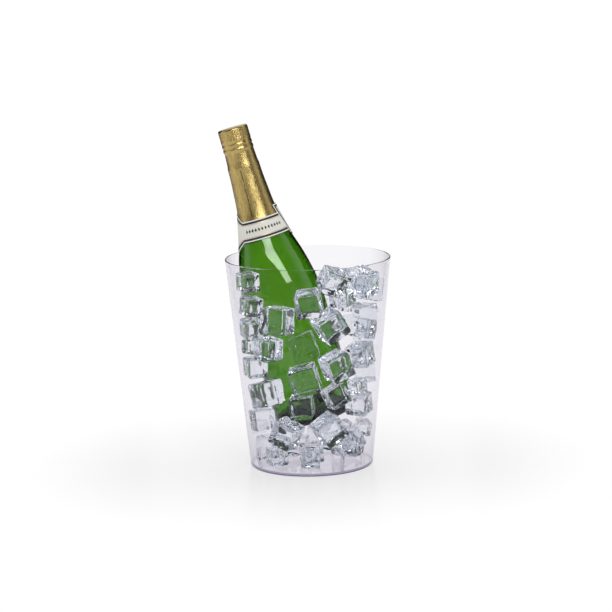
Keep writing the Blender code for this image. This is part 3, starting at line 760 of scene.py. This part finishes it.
def add_body_label(materials):
    """A bordered sheet on the body, with a lozenge emblem over two rows of small lozenges."""
    shape = bmesh.new()
    low, high = BODY_LABEL_SPAN
    middle, half = BODY_LABEL_ANGLE, BODY_LABEL_HALF
    degrees_at = [math.degrees(d / BODY_RADIUS) for d in (0.0, *BORDER)]
    span = 2 * half
    alongs = [*degrees_at, *range(6, 72, 3), *[span - d for d in reversed(degrees_at)]]
    columns = [(middle - half + a, middle - half + a, low, high) for a in alongs]
    ends = len(BORDER_INKS) - 1
    patch(shape, columns, border_shares(high - low, BORDER), BORDER_INKS, 0.0, (ends, ends))
    for size, ink in ((0.0150, GOLD), (0.0125, CREAM), (0.0080, BLACK), (0.0065, CREAM)):
        lift = PAPER + 0.0001 * size / 0.015
        lozenge(shape, middle, BODY_EMBLEM, size * 0.8, size, lift, ink)
    for height in (0.052, 0.047):
        for i in range(9):
            lozenge(shape, middle - 20.0 + 5.0 * i, height, 0.0012, 0.0010, PAPER, BLACK)
    add_piece(
        "body_label_paper", shape, materials, "bottle", ["body_label"], BOTTLE_PLACE,
        sharp=50.0,
    )


# ---------------------------------------------------------------- ice

def cube_frame(mesh):
    """Centre, three axes and half edge of a packed ice cube, from its mesh."""
    lowest = [min(v.co[i] for v in mesh.vertices) for i in range(3)]
    highest = [max(v.co[i] for v in mesh.vertices) for i in range(3)]
    centre = (Vector(lowest) + Vector(highest)) / 2
    faces = sorted(mesh.polygons, key=lambda face: -face.area)
    first = faces[0].normal.normalized()
    second = next(f.normal for f in faces if abs(f.normal.dot(first)) < 0.1)
    second = (second - first * second.dot(first)).normalized()
    axes = (first, second, first.cross(second))
    half = max((v.co - centre).dot(first) for v in mesh.vertices)
    return centre, axes, half


def rounded_cube(half, radius, waves):
    """A melted cube: round edges, and faces that dip in by waves(point) at most."""
    core = half - radius
    marks = [-half + radius * (1 - math.cos(math.radians(t))) for t in (0, 30, 60, 90)]
    marks = marks[:-1] + steps_between(-core, core, 10) + [-m for m in reversed(marks[:-1])]
    shape = bmesh.new()
    found = {}

    def vertex(point):
        key = tuple(round(c * 1e7) for c in point)
        if key not in found:
            inner = Vector([min(max(c, -core), core) for c in point])
            place = inner + (Vector(point) - inner).normalized() * radius
            found[key] = shape.verts.new(place * (1.0 - waves(place) / half))
        return found[key]

    for axis in range(3):
        for side in (-half, half):
            for i in range(len(marks) - 1):
                for j in range(len(marks) - 1):
                    corners = []
                    for a, b in ((i, j), (i + 1, j), (i + 1, j + 1), (i, j + 1)):
                        point = [marks[a], marks[b]]
                        point.insert(axis, side)
                        corners.append(vertex(point))
                    shape.faces.new(corners)
    return shape


def add_ice(material):
    """Every packed cube again, with its edges round and its faces melted unevenly."""
    names = sorted(n for n in frame["nodes"] if n.startswith("ice_"))
    for number, name in enumerate(names):
        node = frame["nodes"][name]
        centre, axes, half = cube_frame(node.data)
        offset = Vector((number * 3.7, number * 1.3, number * 2.1))

        def waves(point):
            broad = noise.noise(point * 75.0 + offset)
            small = noise.noise(point * 190.0 + offset * 2.0)
            melt = ICE_WAVES * (0.5 + 0.5 * broad) + 0.3 * ICE_WAVES * (0.5 + 0.5 * small)
            from_middle = sorted(abs(c) for c in point)[1] / half
            dish = ICE_DISH * (0.55 + 0.45 * broad) * smooth_step(*ICE_DISH_EDGES, from_middle)
            return melt + dish

        turn = Matrix(axes).transposed().to_4x4()
        add_piece(
            name.replace("ice_", "clear_ice_"), rounded_cube(half, ICE_ROUND, waves), [material],
            node["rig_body"], [name], Matrix.Translation(centre) @ turn, sharp=80.0,
        )


# ---------------------------------------------------------------- studio

def add_floor():
    """Pale floor with a painted glow: weakest under the bucket, where it lights the shade, and growing
    to plain white away from it.
    """
    bpy.ops.mesh.primitive_plane_add(size=60.0)
    floor = bpy.context.object
    floor.name = "floor"
    material, tree, shader = node_material("floor", (0.88, 0.88, 0.89), 0.22)
    shader.inputs["Specular IOR Level"].default_value = 0.3
    where = place_node(tree)
    away = tree.nodes.new("ShaderNodeVectorMath")
    away.operation = "LENGTH"
    tree.links.new(where, away.inputs[0])
    fade = tree.nodes.new("ShaderNodeMapRange")
    fade.interpolation_type = "SMOOTHSTEP"
    fade.inputs["From Min"].default_value = FLOOR_FADE[0]
    fade.inputs["From Max"].default_value = FLOOR_FADE[1]
    fade.inputs["To Min"].default_value = FLOOR_GLOW_LEAST
    tree.links.new(away.outputs["Value"], fade.inputs["Value"])
    # painted glow: the floor shines though it is no lamp, lightening the shade under and around the
    # bucket
    glow = tree.nodes.new("ShaderNodeEmission")
    glow.inputs["Color"].default_value = (1.0, 1.0, 1.0, 1.0)
    glow.inputs["Strength"].default_value = FLOOR_GLOW
    blend = tree.nodes.new("ShaderNodeMixShader")
    tree.links.new(fade.outputs["Result"], blend.inputs["Fac"])
    tree.links.new(shader.outputs["BSDF"], blend.inputs[1])
    tree.links.new(glow.outputs["Emission"], blend.inputs[2])
    tree.links.new(blend.outputs["Shader"], tree.nodes["Material Output"].inputs["Surface"])
    floor.data.materials.append(material)


def add_world():
    """A white room that is grey in front of the object; the camera sees plain white."""
    world = bpy.data.worlds.new("studio")
    bpy.context.scene.world = world
    world.use_nodes = True
    tree = world.node_tree
    background = tree.nodes["Background"]
    where = tree.nodes.new("ShaderNodeTexCoord")
    split = tree.nodes.new("ShaderNodeSeparateXYZ")
    tree.links.new(where.outputs["Generated"], split.inputs["Vector"])
    front = range_node(tree, split.outputs["Y"], *ROOM_FADE, 0.0, 1.0)
    room = mix_node(tree, front, ROOM_FRONT, ROOM_BACK)
    path = tree.nodes.new("ShaderNodeLightPath")
    blend = tree.nodes.new("ShaderNodeMix")
    blend.data_type = "RGBA"
    blend.inputs["B"].default_value = (1.0, 1.0, 1.0, 1.0)
    tree.links.new(path.outputs["Is Camera Ray"], blend.inputs["Factor"])
    tree.links.new(room, blend.inputs["A"])
    tree.links.new(blend.outputs["Result"], background.inputs["Color"])


def add_card(name, corners, colour, glow=0.0):
    """A flat card of the studio, out of the camera's sight."""
    shape = bmesh.new()
    shape.faces.new([shape.verts.new(corner) for corner in corners])
    mesh = bpy.data.meshes.new(name)
    shape.to_mesh(mesh)
    shape.free()
    card = bpy.data.objects.new(name, mesh)
    bpy.context.scene.collection.objects.link(card)
    material, _, shader = node_material(name, colour, 0.9, Emission_Color=(1.0, 1.0, 1.0, 1.0))
    shader.inputs["Specular IOR Level"].default_value = 0.0
    shader.inputs["Emission Strength"].default_value = glow
    mesh.materials.append(material)
    card.visible_camera = False
    return card


def add_flag(name, side):
    """A black card beside the white background; only mirrors and glass see it."""
    low, high = FLAG_SPAN
    near, far = ((side * x, y) for x, y in (FLAG_NEAR, FLAG_FAR))
    corners = [(*near, low), (*far, low), (*far, high), (*near, high)]
    flag = add_card(name, corners, (0.02, 0.02, 0.022))
    flag.visible_diffuse = False
    flag.visible_shadow = False


def add_softbox():
    """Slanted softbox above the camera: its mirror image is the stripe on the bottle's shoulder."""
    corners = [(x, SOFTBOX_FRONT, z) for x, z in SOFTBOX_CORNERS]
    add_card("softbox", corners, (1.0, 1.0, 1.0), SOFTBOX_GLOW)


def add_camera():
    tilt, yaw, roll = (math.radians(a) for a in (CAMERA_TILT, CAMERA_YAW, CAMERA_ROLL))
    ahead = Vector((math.sin(yaw) * math.cos(tilt), math.cos(yaw) * math.cos(tilt), math.sin(tilt)))
    right = Vector((math.cos(yaw), -math.sin(yaw), 0.0))
    up = right.cross(ahead)
    right, up = (
        right * math.cos(roll) - up * math.sin(roll),
        up * math.cos(roll) + right * math.sin(roll),
    )
    data = bpy.data.cameras.new("camera")
    data.lens = CAMERA_LENS
    data.sensor_width = CAMERA_SENSOR
    camera = bpy.data.objects.new("camera", data)
    bpy.context.scene.collection.objects.link(camera)
    turn = Matrix((right, up, -ahead)).transposed().to_4x4()
    camera.matrix_world = Matrix.Translation(CAMERA_PLACE) @ turn
    bpy.context.scene.camera = camera


def set_light_paths():
    """Enough bounces for light to cross wall, ice, glass and wine and come back."""
    scene = bpy.context.scene
    scene.view_settings.view_transform = "Standard"
    cycles = scene.cycles
    cycles.max_bounces = 40
    cycles.transmission_bounces = 40
    cycles.transparent_max_bounces = 16
    cycles.glossy_bounces = 12
    cycles.diffuse_bounces = 3


# ---------------------------------------------------------------- scene

def paint_node(name, material):
    """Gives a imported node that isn't replaced its finished material."""
    node = frame["nodes"][name]
    node.data.materials.clear()
    node.data.materials.append(material)


set_light_paths()
papers = [
    paper_material("paper_white", (0.95, 0.94, 0.91), (0.87, 0.86, 0.82)),
    paper_material("paper_black", (0.012, 0.010, 0.010), (0.030, 0.026, 0.024)),
    gold_ink_material(),
    paper_material("paper_cream", (0.89, 0.88, 0.81), (0.79, 0.78, 0.71)),
]
add_bucket(plastic_material())
add_bottle_glass(glass_material())
add_wine(wine_material())
add_foil([foil_material(), seam_shade_material()])
add_neck_label(papers)
add_body_label(papers)
add_ice(ice_material())
paint_node("cork", cork_material())
paint_node("muselet", metal_material("cage_wire", (0.62, 0.60, 0.57), 0.3))
paint_node("muselet_cap", metal_material("plaque", (0.60, 0.45, 0.20), 0.28))
add_floor()
add_world()
add_flag("flag_left", -1.0)
add_flag("flag_right", 1.0)
add_softbox()
add_camera()
